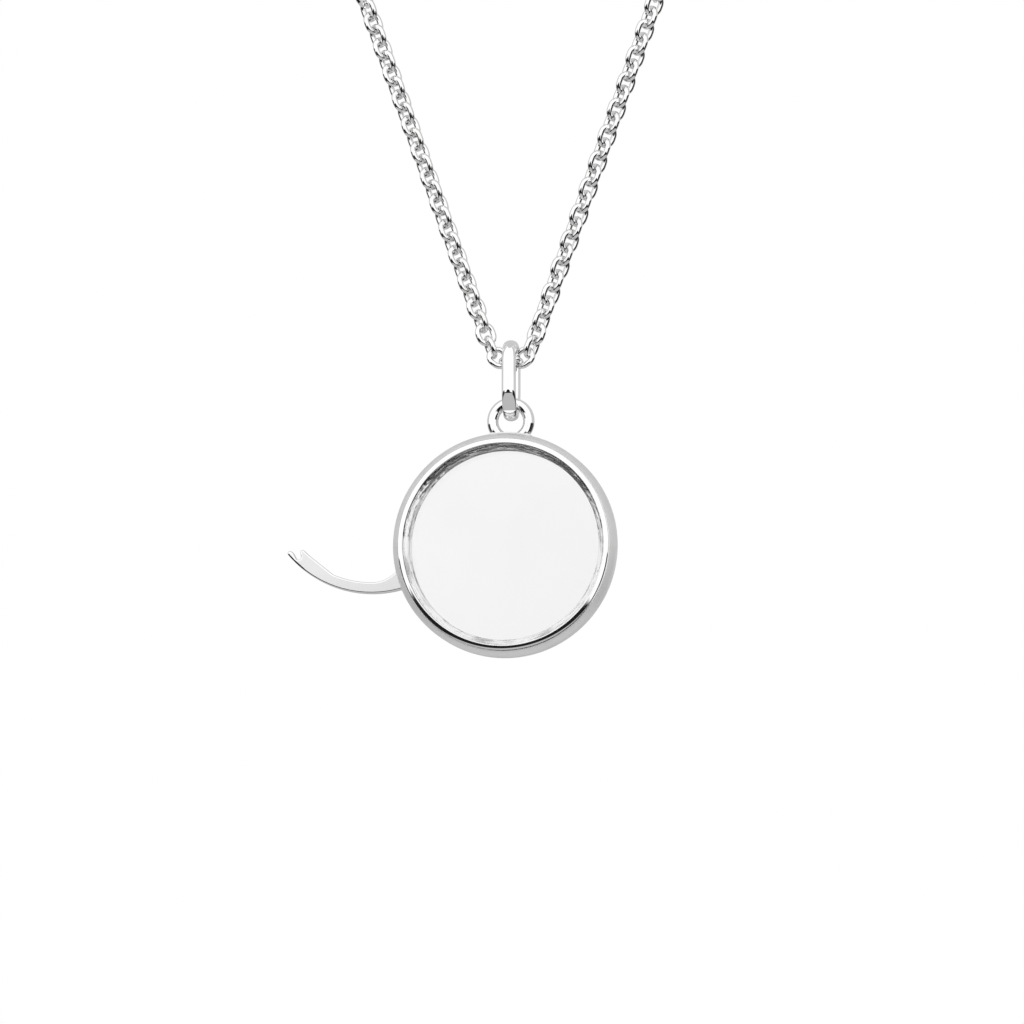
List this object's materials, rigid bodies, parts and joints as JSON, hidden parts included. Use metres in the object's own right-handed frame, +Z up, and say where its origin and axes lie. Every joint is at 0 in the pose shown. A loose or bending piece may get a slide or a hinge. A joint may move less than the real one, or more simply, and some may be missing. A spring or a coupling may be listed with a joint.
{
  "type": "floating locket",
  "caption": "Round see-through locket between two glass windows, with a hinged forked gate as part of its side wall, hanging by an oval bail from a fine link chain.",
  "frame": {"origin": "underside of the clasp, at the top of the necklace, where it lies on the back of the neck", "axes": "+Z up, +X to the viewer's right of the hanging locket, -Y towards its front"},
  "size_m": [0.0988, 0.0044, 0.219],
  "materials": {
    "silver": "polished",
    "chain_silver": "polished",
    "glass": "polished"
  },
  "bodies": {
    "necklace": {"chain": "chain_silver", "clasp": "silver"},
    "bail": {"bail": "silver"},
    "locket": {"locket_frame": "silver", "front_glass": "glass", "back_glass": "glass", "hinge_pin": "silver", "catch_pin": "silver"},
    "gate": {"gate": "silver"}
  },
  "joints": [
    {"name": "bail_swing", "type": "hinge", "parent": "necklace", "child": "bail", "pos_m": [0, 0, -0.18664], "axis": [1, 0, 0], "range_deg": [-90, 90]},
    {"name": "locket_sway", "type": "hinge", "parent": "bail", "child": "locket", "pos_m": [0, 0, -0.19209], "axis": [0, 1, 0], "range_deg": [-35, 35]},
    {"name": "gate_close", "type": "hinge", "parent": "locket", "child": "gate", "pos_m": [-0.01065, 0, -0.20873], "axis": [0, 1, 0], "range_deg": [0, 88]}
  ]
}
